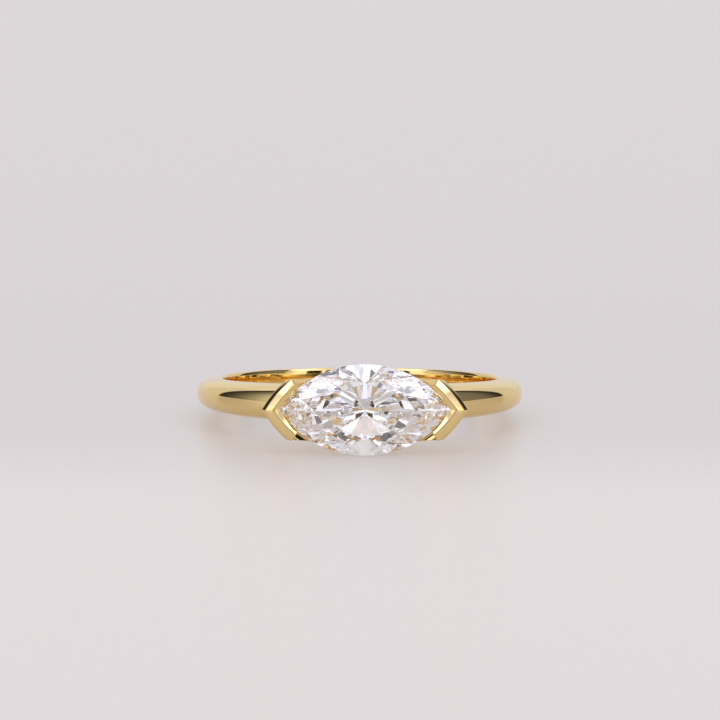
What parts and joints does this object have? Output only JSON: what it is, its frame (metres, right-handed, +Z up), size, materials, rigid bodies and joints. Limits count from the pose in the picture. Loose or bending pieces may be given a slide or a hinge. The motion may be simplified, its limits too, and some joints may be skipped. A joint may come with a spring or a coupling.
{
  "type": "marquise half-bezel engagement ring",
  "caption": "Finger ring with a tapered domed gold band and an east-west marquise stone held by its points in two V-shaped half bezels over an open-sided gallery.",
  "frame": {"origin": "on the surface that the ring rests on, under the middle of its outer box", "axes": "+Z up from the surface; +Y from the stone towards the back of the band; +X to the right of someone who faces the stone. The finger hole's axis leans 4.8 degrees from +Z towards +Y, because the ring lies on the stone's belly and the back of the band."},
  "size_m": [0.02, 0.0238, 0.0054],
  "materials": {
    "yellow_gold": "polished 14 karat yellow gold",
    "diamond": "polished cut diamond, colourless"
  },
  "bodies": {
    "root": {"ring_mount": "yellow_gold", "marquise_stone": "diamond"}
  },
  "joints": []
}
